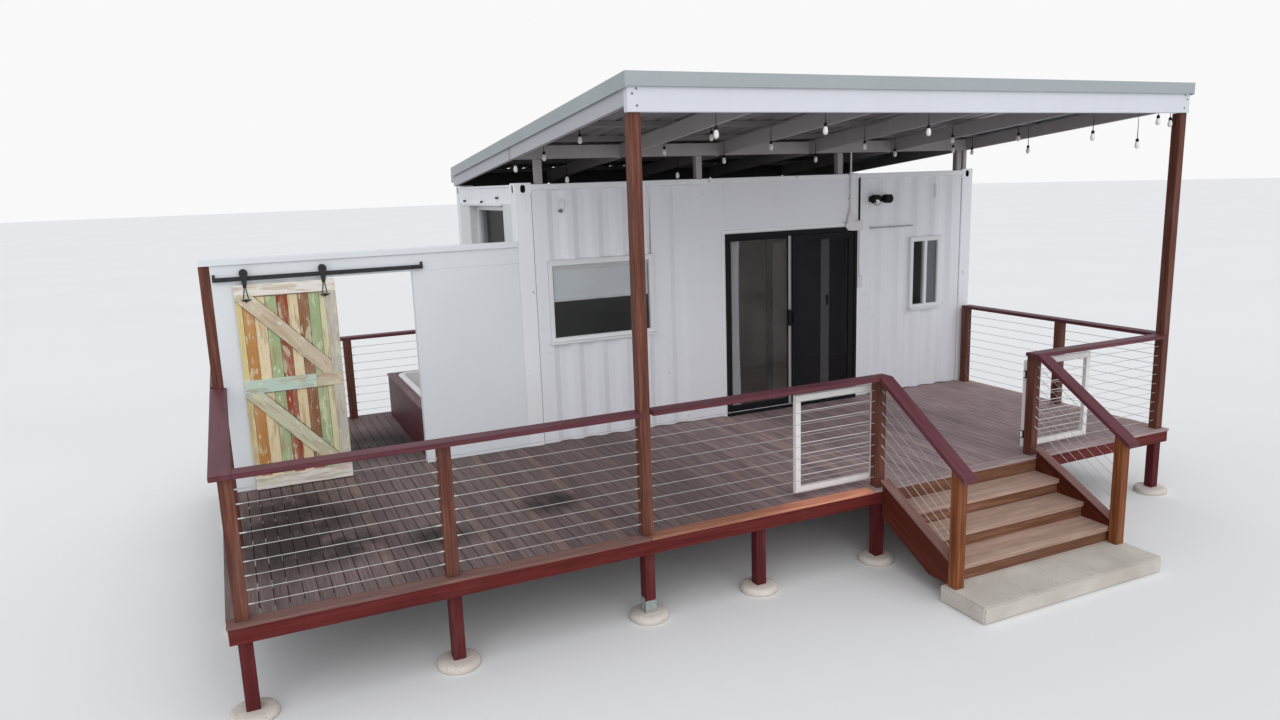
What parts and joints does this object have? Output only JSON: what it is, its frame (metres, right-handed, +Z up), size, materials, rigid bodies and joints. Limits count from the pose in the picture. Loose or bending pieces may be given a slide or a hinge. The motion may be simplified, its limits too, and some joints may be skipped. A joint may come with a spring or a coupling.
{
  "type": "shipping container cabin",
  "caption": "Cabin made from a shipping container, with a raised timber deck, cable balustrade, stair with gates, sloping roof, sliding doors, and a screened bath beside it.",
  "frame": {"origin": "on the ground, at the centre of the underside of the footing below the container's front left corner", "axes": "+X along the container's front towards its right end, +Y from the front towards the back, +Z up"},
  "size_m": [9.202, 6.7433, 4.1706],
  "materials": {
    "container_paint": "satin off-white, weathered",
    "white_trim": "satin white",
    "black_aluminium": "satin black powder coat",
    "window_glass": "clear",
    "blind_fabric": "matt",
    "insect_mesh": "fine black mesh",
    "deck_timber": "weathered taupe brown",
    "frame_timber": "rough sawn",
    "red_timber": "dark red-brown stain",
    "rail_timber": "purplish red-brown oil",
    "post_timber": "weathered brown",
    "grey_timber": "grey weathered",
    "white_timber": "satin white paint",
    "screen_panel": "white painted sheet",
    "barn_boards": "worn paint in many colours",
    "bath_boards": "red-brown stain",
    "concrete": "rough cast",
    "steel_wire": "stainless",
    "gate_paint": "white, worn",
    "roof_metal": "pale grey-green",
    "track_metal": "dark",
    "tub_enamel": "gloss white",
    "fitting_plastic": "grey"
  },
  "bodies": {
    "root": {"back_wall": "container_paint", "balustrade_posts": "post_timber", "bath_surround": "bath_boards", "bath_tub": "tub_enamel", "bottom_rails": "container_paint", "cabin_floor": "frame_timber", "container_roof": "container_paint", "corner_castings": "container_paint", "corner_posts": "container_paint", "deck_boards": "deck_timber", "deck_fascias": "red_timber", "deck_frame": "frame_timber", "deck_stumps": "post_timber", "door_frame": "black_aluminium", "door_track": "track_metal", "door_trim": "white_trim", "fixed_glass": "window_glass", "flood_light": "fitting_plastic", "footings": "concrete", "front_beam": "white_timber", "front_wall_left": "container_paint", "front_wall_over_door": "container_paint", "front_wall_right": "container_paint", "gate_hinges": "gate_paint", "handrails": "rail_timber", "landing_slab": "concrete", "left_end_wall": "white_trim", "mid_beam": "white_timber", "purlins": "grey_timber", "rafters": "grey_timber", "rear_blocking": "grey_timber", "rear_gutter": "roof_metal", "right_end_wall": "container_paint", "roof_cappings": "roof_metal", "roof_sheet": "roof_metal", "screen_wall_head": "screen_panel", "screen_wall_left": "screen_panel", "screen_wall_right": "screen_panel", "stair_steps": "deck_timber", "stair_stringers": "red_timber", "tall_posts": "post_timber", "top_rails": "container_paint", "wall_conduit": "fitting_plastic", "window_blind": "blind_fabric", "window_frames": "white_trim", "wires_front_left": "steel_wire", "wires_front_right": "steel_wire", "wires_left": "steel_wire", "wires_rear": "steel_wire", "wires_right": "steel_wire", "wires_stair_left": "steel_wire", "wires_stair_right": "steel_wire"},
    "barn_door": {"barn_door": "barn_boards", "door_hangers": "track_metal"},
    "left_gate": {"left_gate": "gate_paint"},
    "right_gate": {"right_gate": "gate_paint"},
    "sliding_door": {"sliding_door_panel": "black_aluminium", "sliding_door_glass": "window_glass"},
    "screen_door": {"screen_door_frame": "black_aluminium", "screen_door_mesh": "insect_mesh"}
  },
  "joints": [
    {"name": "barn_door_slide", "type": "slide", "parent": "root", "child": "barn_door", "axis": [1, 0, 0], "range_m": [-0.1, 0.78]},
    {"name": "left_gate_hinge", "type": "hinge", "parent": "root", "child": "left_gate", "pos_m": [2.266, -2.8, 0.7], "axis": [0, 0, -1], "range_deg": [0, 180]},
    {"name": "right_gate_hinge", "type": "hinge", "parent": "root", "child": "right_gate", "pos_m": [4.019, -2.8, 0.7], "axis": [0, 0, 1], "range_deg": [0, 180]},
    {"name": "glass_door_slide", "type": "slide", "parent": "root", "child": "sliding_door", "axis": [1, 0, 0], "range_m": [-0.535, 0.3]},
    {"name": "screen_door_slide", "type": "slide", "parent": "root", "child": "screen_door", "axis": [1, 0, 0], "range_m": [-0.84, 0]}
  ]
}
